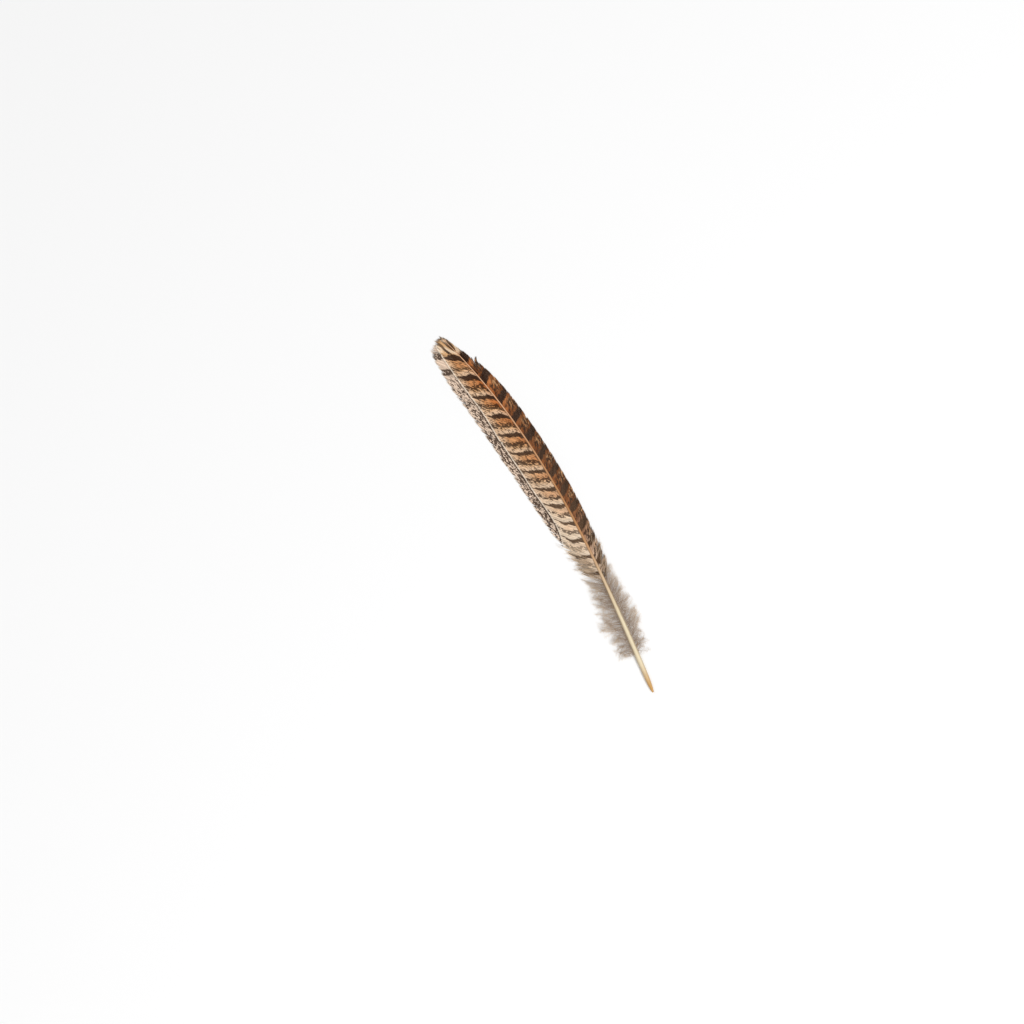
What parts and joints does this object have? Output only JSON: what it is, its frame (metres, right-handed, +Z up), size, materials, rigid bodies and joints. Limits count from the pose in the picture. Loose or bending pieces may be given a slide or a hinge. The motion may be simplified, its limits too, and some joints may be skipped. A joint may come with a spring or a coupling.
{
  "type": "pheasant tail feather",
  "caption": "Barred brown tail feather of a hen pheasant, lying flat: a bowed shaft with a bare quill, a broad and a narrow vane, and downy base locks.",
  "frame": {"origin": "centre of the bounding box in X and Y, on the surface that the feather lies on", "axes": "+X along the feather from the quill to the tip, +Y towards the broad vane, +Z up from the surface through the feather's upper side"},
  "size_m": [0.19, 0.0246, 0.0043],
  "materials": {
    "vane": "soft, finely ribbed barbs, faintly silky",
    "shaft": "smooth horn, satin, slightly translucent at the quill",
    "down": "fluffy, matt"
  },
  "bodies": {
    "root": {"feather": "vane"}
  },
  "joints": []
}
